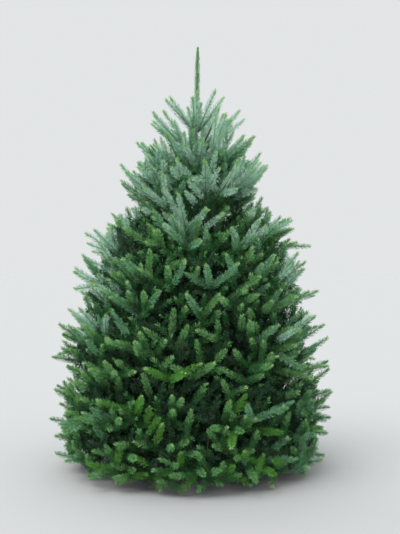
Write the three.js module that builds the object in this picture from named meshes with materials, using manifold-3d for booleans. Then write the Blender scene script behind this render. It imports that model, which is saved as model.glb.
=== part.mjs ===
// A young fir grown as a Christmas tree, still rooted in its field: one whole trunk from a flat cut at
// ground level to the leader's tip, main boughs in whorls round it, and a mass of needled twigs on each.
// Millimetres and degrees, +Z up. The origin is the middle of the cut, at ground level.
import * as THREE from "three";
import { mergeVertices } from "three/addons/utils/BufferGeometryUtils.js";
import Module from "manifold-3d";

const wasm = await Module();
wasm.setup();

// The tree as a whole
const TREE_HEIGHT = 2600;
const LEADER_FOOT = 2070; // the top whorl, where the leader starts
const TIP_LEAN = 45; // the tip stands this far off the foot, towards +X
const TRUNK_SWEEP = 14; // how far the trunk bows off its own line, towards +Y
const GROUND_CLEARANCE = 35; // the lowest needles hang this far above the ground

// The trunk's radii
const BUTT_RADIUS = 37; // above the root flare
const LEADER_RADIUS = 7.5; // at the leader's foot
const TIP_RADIUS = 3;
const FLARE = 0.75; // the root flare's spread, as a share of the butt radius
const FLARE_HEIGHT = 77; // the flare fades to a third over this height
const ROOT_LOBES = 5;
const LOBE_DEPTH = 0.16;
const TRUNK_RINGS = [0, 18, 45, 90, 160, 420, 800, 1180, 1560, 1850, LEADER_FOOT, 2340, TREE_HEIGHT];
const TRUNK_SIDES = 15;

// The crown's outline: the reach of the tips falls from its full value to nothing at the apex
const CROWN_REACH = 850;
const CROWN_APEX = 2480;
const CROWN_POWER = 2.5;
const SKIRT_HEIGHT = 260; // below this the crown tucks in
const SKIRT_TUCK = 0.1;

// The whorls, from the top down: how many boughs, how many twigs end in each row across a mass, lowest row
// first, and how much of a bough is bare
const WHORLS = [
  { boughs: 4, tips: [] },
  { boughs: 4, tips: [1] },
  { boughs: 4, tips: [2] },
  { boughs: 4, tips: [1, 2], bare: 0.2 },
  { boughs: 4, tips: [2, 2], bare: 0.26 },
  { boughs: 4, tips: [3, 2], bare: 0.32 },
  { boughs: 5, tips: [2, 3], bare: 0.37 },
  { boughs: 5, tips: [2, 3, 2], bare: 0.4 },
];
const INTERNODES = [150, 190, 230, 260, 280, 300, 330];
const RISE_TOP = 52; // how steeply the top and the bottom boughs climb
const RISE_BOTTOM = 2;
const FIRST_TURN = -4; // the top whorl's first bough, round from +X
const WHORL_TURN = 42; // each whorl is turned this far from the one above
const TURN_JITTER = 7;
const FOOT_JITTER = 9; // the boughs of a whorl leave the trunk this far above or below each other
const TIPS_ABOVE = 100; // how far the top mass reaches above its stem's tip
const BORDER_WAVE = 30; // the border between two whorls rises and falls this much at the crown's rim
const BORDER_LOBES = 4;
const SKIRT_FOOT = 0.55; // the crown's underside meets the axis at this share of the lowest whorl's height

// Limbs
const BOUGH_RADIUS = 15; // at the trunk, on the lowest whorl
const STEM_RADIUS = 7; // where the needles start
const TOP_STEM_RADIUS = 4.5;
const TWIG_RADIUS = 4;
const SIDE_TWIG_RADIUS = 2.8;
const TWIG_TAPER = 0.8; // a twig's radius where its spray starts, as a share of that at its foot
const LIMB_BEND = 0.55; // how far along its reach a limb's curve turns up
const LIMB_BEND_RISE = 0.4; // and how much of its climb it has made there
const LIMB_SAG = 0.02; // of its reach

// The leader's own needles: a sleeve of barbs that hug it
const LEADER_BARE = 45; // above the top whorl
const LEADER_BUD = 18; // the leader's tip stands this far out of its needles
const LEADER_BARBS = 7;
const LEADER_GIRTH = 24; // at the sleeve's foot
const LEADER_TIP_GIRTH = 15;
const LEADER_SLEEVE = 3; // the sleeve's wall between barbs
const LEADER_EDGES = 5;

// Sprays: a slim core that spikes of needles stand out of, swept forward
const SPRAY_LENGTH = 240;
const SPRAY_RADIUS = 44;
const SPRAY_EDGES = 4;
const SPRAY_MOST = 0.94; // of a short twig
const SPRAY_SPIKES = [[0.9, 0.18], [1, 0.44], [0.8, 0.7]]; // rings of spikes: their size, and how far along
const SIDE_SPIKES = [[1, 0.26], [0.85, 0.62]];
const SPIKE_SWEEP = 0.14; // how far forward the spikes lean, as a share of the spray
const BETWEEN_SPIKES = 0.4; // the core's radius between spikes, as a share of theirs
const SIDE_SHARE = 0.74; // a side spray's size, as a share of the end spray's
const SIDE_ANGLE = 46;
const SIDE_ANGLE_JITTER = 7;
const SIDE_NEEDLED = 0.9; // of a side twig
const SIDE_LIFT = 0.16; // how far a side spray climbs above its twig's own heading
const SIDE_JITTER = 0.14; // of its climb and its size
const ROWS_SPREAD = 0.95; // the twigs' tips take up this share of a mass's width
const ROW_SHIFT = 0.14; // a tip stands this share of a row's height off its middle, and of a column's width
const TIP_SPREAD = 0.07; // the tips stand this share in or out of the crown's outline
const TWIG_PARTING = 1.25; // a twig leaves the stem this many times its own offset behind the stem's tip
const FIRST_PARTING = 0.08; // but only between these shares of the stem
const LAST_PARTING = 0.65;
const TWIG_BEND = 0.5; // how much of a twig's length is its turn up to its tip
const SHOOT_RISE_TOP = 62; // how steeply the shoots point up at the crown's top and foot
const SHOOT_RISE_BOTTOM = 12;
const LOW_ROW_RISE = 0.3; // twigs low on a mass point up by this share of it, and those at its top by more
const HIGH_ROW_RISE = 1.1;

// The dense inner needles of a mass: a core with points that stand out of it by turns
const CORE_DEPTH = 165; // how far inside the crown's outline its points end
const CORE_REACH = 0.58; // or, on a short bough, this share of the way to it
const CORE_PITCH = 160; // from a point to the hollow beside it
const CORE_LEAST_EDGES = 6;
const CORE_HOLLOW = 0.6; // the hollows' distance from the middle, as a share of the points'
const CORE_UNEVEN = 0.16;
const CORE_FULLNESS = 1.2; // points that would pass the border above or below end at it
const CORE_WIDTH = 0.98; // of the mass's own space
const CORE_BLUNTNESS = 12; // a core keeps its girth nearly to its two ends
const CORE_CAP = 0.05; // the share of its width that closes each end
const CORE_SQUARENESS = 0.7; // 0 would be a round section
const CORE_BEHIND_SEAT = 30; // the core starts this far past the bough's tip

// Clearances
const SEAT_GAP = 0.3; // between a limb and what carries it
const SPACE_MARGIN = 7; // each mass keeps this far inside its own space
const AXIS_ROOM = 20; // which has no sides this close to the axis
const CORE_MARGIN = 12; // and its core this far
const LIMB_MARGIN = 3; // a twig keeps this far from limbs that it doesn't grow on
const ROOT_ROOM = 34; // a spray may meet the twig that it grows on this near its root
const MOST_BURIED = 0.4; // of a side spray, inside the core

const UP = new THREE.Vector3(0, 0, 1);
const FORWARD = new THREE.Vector3(0, 1, 0);
const radians = THREE.MathUtils.degToRad;
const { lerp, clamp } = THREE.MathUtils;

// A number from 0 to 1 that depends only on its keys, so the tree grows the same way each time.
function chance(...keys) {
  const mixed = keys.reduce((sum, key, i) => sum + (key + 1) * (12.9898 + 31.416 * i), 0);
  const wave = Math.sin(mixed) * 43758.5453;
  return wave - Math.floor(wave);
}

const jitter = (...keys) => 2 * chance(...keys) - 1;

// The trunk's axis at a height
function axisAt(z) {
  const share = z / TREE_HEIGHT;
  return new THREE.Vector3(TIP_LEAN * share, TRUNK_SWEEP * Math.sin(Math.PI * share), z);
}

function trunkRadius(z) {
  if (z > LEADER_FOOT) {
    return lerp(LEADER_RADIUS, TIP_RADIUS, (z - LEADER_FOOT) / (TREE_HEIGHT - LEADER_FOOT));
  }
  return lerp(BUTT_RADIUS, LEADER_RADIUS, z / LEADER_FOOT);
}

// How far the tips reach from the axis at a height
function crownReach(z) {
  const tuck = 1 - SKIRT_TUCK * clamp((SKIRT_HEIGHT - z) / SKIRT_HEIGHT, 0, 1) ** 2;
  return CROWN_REACH * tuck * (1 - clamp(z / CROWN_APEX, 0, 1) ** CROWN_POWER);
}

const outward = (azimuth) => new THREE.Vector3(Math.cos(azimuth), Math.sin(azimuth), 0);

// A point in the crown by its height, its distance from the axis and its direction
const crownPoint = (z, r, azimuth) => axisAt(z).addScaledVector(outward(azimuth), r);

// Solids

// A closed mesh as a solid for joining and cutting
function toSolid(geometry) {
  const bare = new THREE.BufferGeometry();
  bare.setAttribute("position", geometry.getAttribute("position"));
  bare.setIndex(geometry.index);
  const merged = mergeVertices(bare, 1e-3);
  const index = merged.index.array;
  const kept = [];
  for (let i = 0; i < index.length; i += 3) {
    const [a, b, c] = index.slice(i, i + 3);
    if (a !== b && b !== c && c !== a) kept.push(a, b, c);
  }
  return new wasm.Manifold(
    new wasm.Mesh({
      numProp: 3,
      vertProperties: merged.attributes.position.array,
      triVerts: new Uint32Array(kept),
    }),
  );
}

function toGeometry(solid) {
  const mesh = solid.getMesh();
  return new THREE.BufferGeometry()
    .setAttribute("position", new THREE.BufferAttribute(mesh.vertProperties, mesh.numProp))
    .setIndex(new THREE.BufferAttribute(mesh.triVerts, 1));
}

function flipped(geometry) {
  const index = geometry.index.array;
  for (let i = 0; i < index.length; i += 3) {
    [index[i], index[i + 1]] = [index[i + 1], index[i]];
  }
  return geometry;
}

// A lathe whose points are then moved: place(radius, share, angle) says where each one goes. The profile
// is [radius, share] from end to end.
function lathed(profile, sides, place) {
  const outline = profile.map(([radius, share]) => new THREE.Vector2(radius, share));
  const lathe = new THREE.LatheGeometry(outline, sides);
  const position = lathe.getAttribute("position");
  for (let i = 0; i < position.count; i++) {
    const [x, share, z] = [position.getX(i), position.getY(i), position.getZ(i)];
    const point = place(Math.hypot(x, z), share, Math.atan2(x, z));
    position.setXYZ(i, point.x, point.y, point.z);
  }
  const solid = toSolid(lathe);
  return solid.volume() < 0 ? toSolid(flipped(lathe)) : solid;
}

// The point at a distance and an angle from a curve, moved forward along it by a share of its length
function besideLine(curve, share, radius, angle, forward = 0) {
  const along = curve.getTangentAt(share);
  const side = new THREE.Vector3().crossVectors(along, Math.abs(along.z) > 0.95 ? FORWARD : UP).normalize();
  const over = new THREE.Vector3().crossVectors(side, along);
  return curve
    .getPointAt(share + forward)
    .addScaledVector(side, radius * Math.cos(angle))
    .addScaledVector(over, radius * Math.sin(angle));
}

// A lathe bent along a curve: widen(angle, share) swells it to one side or another
function turned(curve, profile, sides, widen = () => 1) {
  return lathed(profile, sides, (radius, share, angle) =>
    besideLine(curve, share, radius * widen(angle, share), angle),
  );
}

// A lathe on the trunk's axis, with level rings: its profile is [radius, height]
const turnedOnAxis = (profile, sides, widen = () => 1) =>
  lathed(profile, sides, (radius, z, angle) => crownPoint(z, radius * widen(angle, z), angle));

function rootFlare(angle, z) {
  return 1 + Math.exp(-z / FLARE_HEIGHT) * (FLARE + LOBE_DEPTH * Math.cos(ROOT_LOBES * angle));
}

// The trunk: rings close together in the root flare and further apart above
function trunkSolid(extra) {
  const wall = TRUNK_RINGS.map((z) => [trunkRadius(z) + extra, z]);
  return turnedOnAxis([[0, 0], ...wall, [0, TREE_HEIGHT]], TRUNK_SIDES, rootFlare);
}

// Whorls: where each leaves the trunk, how far it goes, and the space between it and its neighbours

const seedOf = (level, i) => 10 * (level + 1) + i;

const whorls = WHORLS.map(({ boughs, tips, bare = 0 }, level) => {
  const foot = LEADER_FOOT - INTERNODES.slice(0, level).reduce((sum, length) => sum + length, 0);
  const slope = Math.tan(radians(lerp(RISE_TOP, RISE_BOTTOM, level / (WHORLS.length - 1))));
  let rim = foot;
  for (let i = 0; i < 12; i++) rim = (rim + foot + slope * crownReach(rim)) / 2;
  const turn = FIRST_TURN + WHORL_TURN * level;
  return { level, boughs, tips, bare, foot, rim, reach: crownReach(rim), turn };
});

// The borders of the whorls' spaces, from the top down: cones from a height on the axis to one on the rim
const borders = whorls.slice(1).map((below, level) => {
  const above = whorls[level];
  return { axis: (above.foot + below.foot) / 2, rim: (above.rim + below.rim) / 2 };
});
borders.unshift({ axis: whorls[0].foot + TIPS_ABOVE, rim: whorls[0].rim + TIPS_ABOVE });
borders.push({ axis: whorls.at(-1).foot * SKIRT_FOOT, rim: GROUND_CLEARANCE });

// The height of a border at a distance from the axis
function borderAt(level, r, azimuth) {
  const { axis, rim } = borders[level];
  const share = r / crownReach(Math.min(rim, whorls[0].rim));
  const inner = level > 0 && level < whorls.length;
  const wave = inner ? BORDER_WAVE * Math.sin(BORDER_LOBES * azimuth + level) : 0;
  return lerp(axis, rim, share) + wave * share;
}

function insideSpace(solid, mass) {
  const { whorl, middle, half } = mass;
  const { vertProperties, numProp } = solid.getMesh();
  for (let i = 0; i < vertProperties.length; i += numProp) {
    const [x, y, z] = vertProperties.subarray(i, i + 3);
    const axis = axisAt(z);
    const r = Math.hypot(x - axis.x, y - axis.y);
    const off = Math.atan2(y - axis.y, x - axis.x) - middle;
    const turnedOff = Math.abs(Math.atan2(Math.sin(off), Math.cos(off)));
    if (r > AXIS_ROOM && (half - turnedOff) * r < SPACE_MARGIN) return false;
    if (z > borderAt(whorl.level, r, middle + off) - SPACE_MARGIN) return false;
    if (z < borderAt(whorl.level + 1, r, middle + off) + SPACE_MARGIN) return false;
    if (z < GROUND_CLEARANCE) return false;
  }
  return true;
}

// The line of a bough and of the stem that carries on from it, from the trunk's axis to the crown's rim
function limbLine(whorl, azimuth, lift) {
  const start = axisAt(whorl.foot + lift);
  const end = crownPoint(whorl.rim, whorl.reach, azimuth);
  const bend = start.clone().addScaledVector(outward(azimuth), whorl.reach * LIMB_BEND);
  bend.z = lerp(whorl.foot, whorl.rim, LIMB_BEND_RISE) - whorl.reach * LIMB_SAG;
  return new THREE.QuadraticBezierCurve3(start, bend, end);
}

// A stretch of a curve, as a curve of its own
function stretch(curve, from, to) {
  const points = Array.from({ length: 7 }, (_, i) => curve.getPointAt(lerp(from, to, i / 6)));
  return new THREE.CatmullRomCurve3(points);
}

const END_SPRAY = { girth: SPRAY_RADIUS, length: SPRAY_LENGTH, spikes: SPRAY_SPIKES };

// A twig that ends in a spray of needles. On its edges the spikes stand out by turns, ring by ring.
// Behind the spray the twig is bare, and side sprays leave it at the spray's root.
function needled(line, { radius, girth, length, spikes }) {
  const size = Math.min(length, line.getLength() * SPRAY_MOST) / line.getLength();
  const start = 1 - size;
  const rings = spikes.map(([wide, along]) => [girth * wide, start + size * along]);
  const profile = [[0, 0], [radius, 0], [radius * TWIG_TAPER, start], ...rings, [0, 1]];
  const solid = lathed(profile, SPRAY_EDGES, (wide, share, angle) => {
    const ring = rings.findIndex(([, along]) => Math.abs(along - share) < 1e-6);
    const edge = Math.round((angle / Math.PI) * (SPRAY_EDGES / 2));
    const spike = ring >= 0 && (edge + ring) % 2 === 0;
    const across = ring >= 0 && !spike ? wide * BETWEEN_SPIKES : wide;
    return besideLine(line, share, across, angle, spike ? SPIKE_SWEEP * size : 0);
  });
  return { line, start, solid };
}

// Short sprays to the left and the right of a spray's root
function* sideSprays({ line, start }, seed) {
  if (start < 0.02) return;
  const root = line.getPointAt(start);
  const along = line.getTangentAt(start);
  const across = new THREE.Vector3().crossVectors(along, UP).normalize();
  for (const hand of [-1, 1]) {
    const angle = radians(SIDE_ANGLE + SIDE_ANGLE_JITTER * jitter(seed, hand));
    const heading = along
      .clone()
      .multiplyScalar(Math.cos(angle))
      .addScaledVector(across, hand * Math.sin(angle))
      .addScaledVector(UP, SIDE_LIFT + SIDE_JITTER * jitter(seed, hand, 3))
      .normalize();
    const size = SPRAY_LENGTH * SIDE_SHARE * (1 + SIDE_JITTER * jitter(seed, hand, 5));
    const end = root.clone().addScaledVector(heading, size);
    yield needled(new THREE.LineCurve3(root, end), {
      radius: SIDE_TWIG_RADIUS,
      girth: SPRAY_RADIUS * SIDE_SHARE,
      length: size * SIDE_NEEDLED,
      spikes: SIDE_SPIKES,
    });
  }
}

// Where the twigs of a mass end: rows and columns on its patch of the crown's outline
function* twigTips({ whorl, middle, half, seed }) {
  for (const [row, columns] of whorl.tips.entries()) {
    for (let column = 0; column < columns; column++) {
      const key = seed * 100 + row * 10 + column;
      const up = (row + 0.5 + ROW_SHIFT * jitter(key, 1)) / whorl.tips.length;
      const round = (column + 0.5 + ROW_SHIFT * jitter(key, 2)) / columns;
      const angle = middle + half * ROWS_SPREAD * (2 * round - 1);
      const bottom = borderAt(whorl.level + 1, whorl.reach, angle);
      const top = borderAt(whorl.level, whorl.reach, angle);
      const z = lerp(bottom, top, up);
      const r = crownReach(z) * (1 + TIP_SPREAD * jitter(key, 3));
      yield { key, up, out: outward(angle), tip: crownPoint(z, r, angle) };
    }
  }
}

// A twig leaves the stem far enough back to part from it at an easy angle, and turns up to its tip
function twigLine(stem, { tip, out, up }) {
  const steepest = lerp(SHOOT_RISE_BOTTOM, SHOOT_RISE_TOP, clamp(tip.z / CROWN_APEX, 0, 1));
  const rise = radians(steepest * lerp(LOW_ROW_RISE, HIGH_ROW_RISE, up));
  const aside = stem.line.getPointAt(1).distanceTo(tip);
  const behind = (TWIG_PARTING * aside) / stem.line.getLength();
  const share = clamp(1 - behind, FIRST_PARTING, LAST_PARTING);
  const root = stem.line.getPointAt(share);
  const heading = out.clone().multiplyScalar(Math.cos(rise)).addScaledVector(UP, Math.sin(rise));
  const bend = tip.clone().addScaledVector(heading, -TWIG_BEND * root.distanceTo(tip));
  return new THREE.QuadraticBezierCurve3(root, bend, tip);
}

// A square with well rounded corners, by the angle from its middle
function squared(angle) {
  const nearest = Math.max(Math.abs(Math.cos(angle)), Math.abs(Math.sin(angle)));
  return 1 / nearest ** CORE_SQUARENESS;
}

// The dense needles round a mass's stem: a core drawn in slices from one side of the mass to the other
function massCore({ whorl, middle, half, seed }) {
  const from = whorl.reach * whorl.bare + CORE_BEHIND_SEAT;
  const end = (reach) => Math.max(reach - CORE_DEPTH, reach * CORE_REACH);
  const depth = end(whorl.reach) - from;
  const height = borders[whorl.level].rim - borders[whorl.level + 1].rim;
  const slices = Math.round((2 * half * whorl.reach) / CORE_PITCH);
  const edges = Math.max(2 * Math.round((depth + height) / CORE_PITCH), CORE_LEAST_EDGES);
  const shares = Array.from({ length: slices }, (_, i) => lerp(CORE_CAP, 1 - CORE_CAP, i / (slices - 1)));
  const girths = shares.map((share) => [1 - 0.5 * Math.abs(2 * share - 1) ** CORE_BLUNTNESS, share]);
  const profile = [[0, 0], ...girths, [0, 1]];
  return lathed(profile, edges, (girth, share, angle) => {
    const edge = Math.round((angle / Math.PI) * (edges / 2)) + edges;
    const slice = shares.findIndex((at) => Math.abs(at - share) < 1e-6);
    const point = (edge + slice) % 2 === 0;
    const uneven = CORE_UNEVEN * girth * chance(seed, edge % edges, slice);
    const size = 0.5 * girth * squared(angle) * (point ? 1 - uneven : CORE_HOLLOW);
    const across = 0.5 + size * Math.cos(angle);
    const up = clamp(0.5 + CORE_FULLNESS * size * Math.sin(angle), 0, 1);
    const turn = middle + half * CORE_WIDTH * (1 - uneven) * (2 * share - 1);
    const heightAt = (r) =>
      lerp(
        borderAt(whorl.level + 1, r, turn) + CORE_MARGIN,
        borderAt(whorl.level, r, turn) - CORE_MARGIN,
        up,
      );
    const r = lerp(from, end(crownReach(heightAt(from + depth * across))), across);
    return crownPoint(heightAt(r), r, turn);
  });
}

// Everything already standing that a new twig has to keep clear of
const limbs = [];

const clearOfLimbs = (solid) => limbs.every((limb) => solid.minGap(limb, LIMB_MARGIN) >= LIMB_MARGIN);

// Whether a twig meets the ones that stand already at its own root alone
function meetsAtRoot({ line, solid }, twigs) {
  const meeting = solid.intersect(twigs);
  if (meeting.isEmpty()) return true;
  const { min, max } = meeting.boundingBox();
  const root = line.getPointAt(0).toArray();
  return root.every((at, i) => min[i] > at - ROOT_ROOM && max[i] < at + ROOT_ROOM);
}

function growMass(mass, stem) {
  const core = mass.whorl.tips.length > 0 ? massCore(mass) : null;
  let twigs = stem.solid;
  let grown = core ? stem.solid.add(core) : stem.solid;
  const buried = (solid) => (core ? solid.intersect(core).volume() / solid.volume() : 0);
  const keep = (twig) => {
    const { solid } = twig;
    if (!insideSpace(solid, mass) || !clearOfLimbs(solid) || !meetsAtRoot(twig, twigs)) return false;
    const joined = grown.add(solid);
    if (joined.decompose().length > 1) return false;
    twigs = twigs.add(solid);
    grown = joined;
    return true;
  };
  const keepSides = (twig, seed) => {
    for (const side of sideSprays(twig, seed)) {
      if (buried(side.solid) < MOST_BURIED) keep(side);
    }
  };
  keepSides(stem, mass.seed);
  for (const end of twigTips(mass)) {
    const twig = needled(twigLine(stem, end), { ...END_SPRAY, radius: TWIG_RADIUS });
    if (keep(twig)) keepSides(twig, end.key);
  }
  return grown;
}

// Building the tree

const bark = new THREE.MeshStandardMaterial({ color: 0x5b4a3c, roughness: 0.95, metalness: 0 });
const boughBark = new THREE.MeshStandardMaterial({ color: 0x6a5844, roughness: 0.9, metalness: 0 });
const needles = new THREE.MeshStandardMaterial({ color: 0x3f6b45, roughness: 0.6, metalness: 0 });

const tree = new THREE.Group();

function addNode(parent, name, solid, material) {
  const geometry = toGeometry(solid).translate(-parent.position.x, -parent.position.y, -parent.position.z);
  const mesh = new THREE.Mesh(geometry, material);
  mesh.name = name;
  parent.add(mesh);
}

const trunk = trunkSolid(0);
const trunkClear = trunkSolid(SEAT_GAP);
limbs.push(trunk);
addNode(tree, "trunk", trunk, bark);

// The leader's needles have a bore that clears the trunk running up through them
function leaderNeedles() {
  const from = LEADER_FOOT + LEADER_BARE;
  const to = TREE_HEIGHT - LEADER_BUD;
  const outer = [];
  for (let i = 0; i < LEADER_BARBS; i++) {
    const at = (step) => lerp(from, to, (i + step) / LEADER_BARBS);
    const girth = lerp(LEADER_GIRTH, LEADER_TIP_GIRTH, i / LEADER_BARBS);
    outer.push([trunkRadius(at(0)) + LEADER_SLEEVE, at(0.05)], [girth, at(0.98)]);
  }
  return turnedOnAxis([[0, from], ...outer, [0, to]], LEADER_EDGES).subtract(trunkClear);
}

const leader = leaderNeedles();
limbs.push(leader);
addNode(tree, "leader_needles", leader, needles);

const masses = [];

for (const whorl of whorls) {
  const group = new THREE.Group();
  group.position.copy(axisAt(whorl.foot));
  tree.add(group);
  const turns = Array.from({ length: whorl.boughs }, (_, i) => {
    const even = whorl.turn + (360 * i) / whorl.boughs;
    return radians(even + TURN_JITTER * jitter(seedOf(whorl.level, i)));
  });
  for (const [i, azimuth] of turns.entries()) {
    const before = i > 0 ? turns[i - 1] : turns.at(-1) - 2 * Math.PI;
    const after = i + 1 < turns.length ? turns[i + 1] : turns[0] + 2 * Math.PI;
    const half = (after - before) / 4;
    const middle = (before + azimuth) / 2 + half;
    const seed = seedOf(whorl.level, i);
    const name = `${whorl.level + 1}_${i + 1}`;
    const line = limbLine(whorl, azimuth, FOOT_JITTER * jitter(seed, 7));
    if (whorl.bare) {
      const thick = lerp(STEM_RADIUS, BOUGH_RADIUS, whorl.level / (whorls.length - 1));
      const profile = [[0, 0], [thick, 0], [lerp(thick, STEM_RADIUS, 0.6), 0.5], [STEM_RADIUS, 1], [0, 1]];
      const bough = turned(stretch(line, 0, whorl.bare), profile, 6).subtract(trunkClear);
      limbs.push(bough);
      addNode(group, `bough_${name}`, bough, boughBark);
    }
    masses.push({ whorl, middle, half, seed, line, group, name });
  }
}

for (const mass of masses) {
  const { bare } = mass.whorl;
  const gap = bare ? SEAT_GAP / mass.line.getLength() : 0;
  const line = stretch(mass.line, bare + gap, 1);
  const thick = lerp(TOP_STEM_RADIUS, STEM_RADIUS, clamp(mass.whorl.level / 3, 0, 1));
  const stem = needled(line, { ...END_SPRAY, radius: thick });
  if (!bare) stem.solid = stem.solid.subtract(trunkClear);
  addNode(mass.group, `foliage_${mass.name}`, growMass(mass, stem), needles);
}

export default tree;
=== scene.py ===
import math

import bmesh
import bpy
import numpy as np
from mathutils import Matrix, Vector


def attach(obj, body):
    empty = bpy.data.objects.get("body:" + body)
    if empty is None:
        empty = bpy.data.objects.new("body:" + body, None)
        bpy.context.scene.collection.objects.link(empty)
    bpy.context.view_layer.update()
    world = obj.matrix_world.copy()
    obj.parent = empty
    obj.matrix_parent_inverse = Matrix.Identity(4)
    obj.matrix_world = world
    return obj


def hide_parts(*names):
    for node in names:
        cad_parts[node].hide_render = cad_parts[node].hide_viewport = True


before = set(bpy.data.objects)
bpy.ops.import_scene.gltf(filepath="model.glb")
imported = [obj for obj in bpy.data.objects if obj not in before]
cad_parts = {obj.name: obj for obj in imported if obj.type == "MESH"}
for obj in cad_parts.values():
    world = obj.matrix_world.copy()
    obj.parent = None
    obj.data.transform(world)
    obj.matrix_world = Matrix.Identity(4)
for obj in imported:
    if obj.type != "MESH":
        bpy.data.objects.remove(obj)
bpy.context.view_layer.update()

# Everything below is in millimetres until a mesh is made, and the angles among the named values are in
# degrees. The names and values of the first part are the source's own, so that the limbs and the space of
# each mass are the same here.

TREE_HEIGHT = 2600
LEADER_FOOT = 2070
TIP_LEAN = 45
TRUNK_SWEEP = 14
GROUND_CLEARANCE = 35

BUTT_RADIUS = 37
LEADER_RADIUS = 7.5
TIP_RADIUS = 3
FLARE = 0.75
FLARE_HEIGHT = 77
ROOT_LOBES = 5
LOBE_DEPTH = 0.16

CROWN_REACH = 850
CROWN_APEX = 2480
CROWN_POWER = 2.5
SKIRT_HEIGHT = 260
SKIRT_TUCK = 0.1

# From the top down: boughs, twig tips in each row across a mass, and how much of a bough is bare
WHORLS = [
    (4, [], 0),
    (4, [1], 0),
    (4, [2], 0),
    (4, [1, 2], 0.2),
    (4, [2, 2], 0.26),
    (4, [3, 2], 0.32),
    (5, [2, 3], 0.37),
    (5, [2, 3, 2], 0.4),
]
INTERNODES = [150, 190, 230, 260, 280, 300, 330]
RISE_TOP = 52
RISE_BOTTOM = 2
FIRST_TURN = -4
WHORL_TURN = 42
TURN_JITTER = 7
FOOT_JITTER = 9
TIPS_ABOVE = 100
BORDER_WAVE = 30
BORDER_LOBES = 4
SKIRT_FOOT = 0.55

BOUGH_RADIUS = 15
STEM_RADIUS = 7
TOP_STEM_RADIUS = 4.5
TWIG_RADIUS = 4
LIMB_BEND = 0.55
LIMB_BEND_RISE = 0.4
LIMB_SAG = 0.02

ROWS_SPREAD = 0.95
ROW_SHIFT = 0.14
TIP_SPREAD = 0.07
TWIG_PARTING = 1.25
FIRST_PARTING = 0.08
TWIG_BEND = 0.5

# From here on: finer growth, which only this model has. First, one year's growth after the other.
YEAR_GROWTH = [290, 275, 262, 252, 243, 235, 229, 222]  # a leading shoot's length, by whorl
GROWTH_JITTER = 0.12
OLDER_GROWTH = 0.85  # an earlier year's growth, as a share of the last year's
LEAST_GROWTH = 40  # less than this is no year's growth of its own
LEAST_REST = 0.4  # and what is left at a twig's foot joins the next year's growth below this share of it
OLDEST = 4  # ages are counted up to this one
OLD_NODES = 0.6  # the share of the nodes of three years and more that still have side shoots
TWIG_BARE = 20
TWIG_JITTER = 0.1
LEAST_TWIG = 60
MASS_TOP_WHORLS = 3  # over these the masses' stems reach their full radius

SIDE_VIGOUR = 0.88  # a side shoot's growth, as a share of the one that leads
SIDE_JITTER = 0.2
SIDE_ANGLE_LOW = 58  # between a side shoot and its twig, at the crown's foot and at its top
SIDE_ANGLE_HIGH = 40
SIDE_ANGLE_JITTER = 7
SIDE_TILT = 0.2  # how far a side shoot may leave the spray's plane
THIRD_SHOOTS = 0.5  # the share of the youngest nodes that have a third shoot, out of that plane
THIRD_OVER = 0.8  # the share of those that lie over their twig, not under it
THIRD_VIGOUR = 0.8
LEAST_RISE_LOW = 0.32  # the upward part of a side shoot's heading, at the crown's foot and at its top
LEAST_RISE_HIGH = 0.8
LEAST_RISE_JITTER = 0.16
OLD_SIDE = 0.6  # of a side shoot of two years, the first year's growth, then its two shoots of this year
FORWARD_VIGOUR = 0.9
FORK_VIGOUR = 0.7
FORK_RISE = 0.8
LEADING_BEND = 0.05  # how much a side shoot turns back towards its twig's own heading
UPWARD_BEND_LOW = 0.02  # and up, at the crown's foot and at its top
UPWARD_BEND_HIGH = 0.06
LEADER_UPWARD = 0.4  # a leading shoot bends up by this share of that
SPRAY_ROLL = 40  # a spray's plane is turned up to this far round its twig
STRAIGHT_OUT = 0.55  # low in the crown, shoots that point out by more than this turn aside
TURN_ASIDE = 1.1
ASIDE_BELOW = 1100

OLD_SIDE_RADIUS = 2.6
SHOOT_RADIUS = 2.0
TWIG_TIP_RADIUS = 1.5
SHOOT_TIP_RADIUS = 1.3

# A shoot may pass the growth's reach by this much, at the ground and from BEYOND_FROM up. One that passes it
# by more is shortened, up to this many times.
BEYOND = (40, 65)
BEYOND_FROM = 1200
SHORTENED = 0.8
SHORTENINGS = 3

# Further twigs, spread evenly over the crown in layers: how far out their tips are, as shares of the growth's
# reach, how many places are tried, and how far such a tip keeps from the other twigs'
LAYERS = [((0.97, 1.03), 310, 130), ((0.74, 0.88), 130, 125)]
LOW_APART = 0.95  # that distance is scaled by this much at the ground and at the crown's apex
TOP_APART = 1.35
LOWEST_TIPS = GROUND_CLEARANCE + 25
SPIRAL_STEPS = 400
SPIRAL_JITTER = 0.3
SPIRAL_TURN_JITTER = 0.05
GOLDEN_TURN = math.pi * (3 - math.sqrt(5))
LAST_FOOT = 0.9  # a twig leaves its stem no further out than this share of its tip's own distance

TOP_FROM = 1850  # twigs that end above this leave the trunk itself, in one of its whorls
TOP_DROP = 0.6  # at least this share of their reach lower
TOP_BEND_OUT = 0.5  # and bend towards a point at this share of their reach and at this one of their rise
TOP_BEND_UP = 0.3

RISE_LOW = 24  # how steeply twigs end at the crown's foot and at its top
RISE_HIGH = 72
RISE_JITTER = 8
HEADING_TURN = 38  # they end up to this far from straight outward
LOW_TURN = 75  # low down they turn towards this angle: by this share at the ground, less and less above
LOW_TURN_SHARE = 0.6
LOW_TURN_BELOW = 1300

WAIST_AT = 1590  # about here, between two of the tiers, the growth keeps in by this share
WAIST_SHARE = 0.22
WAIST_HEIGHT = 90
WAIST_WAVES = (45, 35)  # round the crown, the waist's height varies by this much, and its share by this much
WAIST_SHARE_WAVE = 0.35
WAIST_BARE = 55  # this near to the waist, the outer layer has no tips
SPIKES_AT = 2140  # about here, the top's shoots reach this far beyond the outline
SPIKES = 55
SPIKES_HEIGHT = 110

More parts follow.
